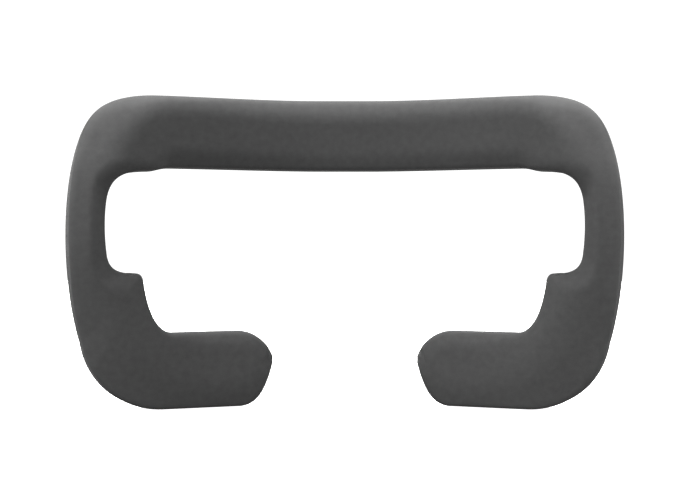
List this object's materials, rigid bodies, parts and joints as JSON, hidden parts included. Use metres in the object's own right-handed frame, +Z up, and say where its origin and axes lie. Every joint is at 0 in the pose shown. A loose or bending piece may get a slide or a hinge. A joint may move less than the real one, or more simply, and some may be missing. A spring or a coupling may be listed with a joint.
{
  "type": "goggle face cushion",
  "caption": "Padded face cushion for goggles: fabric-covered foam band that frames the eye window and opens at the nose, with a loop-pile back for fastening.",
  "frame": {"origin": "middle of the forehead band's flat back, where the cushion is pressed on to the goggles", "axes": "+X across the face to the right as seen from the wearer's side, +Y out of the back towards the goggles, +Z up the forehead; the wearer's face is on the -Y side"},
  "size_m": [0.1794, 0.0375, 0.1007],
  "materials": {
    "face_knit": "matt fine knit with a short nap",
    "foam": "matt open-cell polyurethane foam",
    "loop_pile": "matt brushed loop pile"
  },
  "bodies": {
    "root": {"face_fabric": "face_knit", "foam_core": "foam", "loop_backing": "loop_pile"}
  },
  "joints": []
}
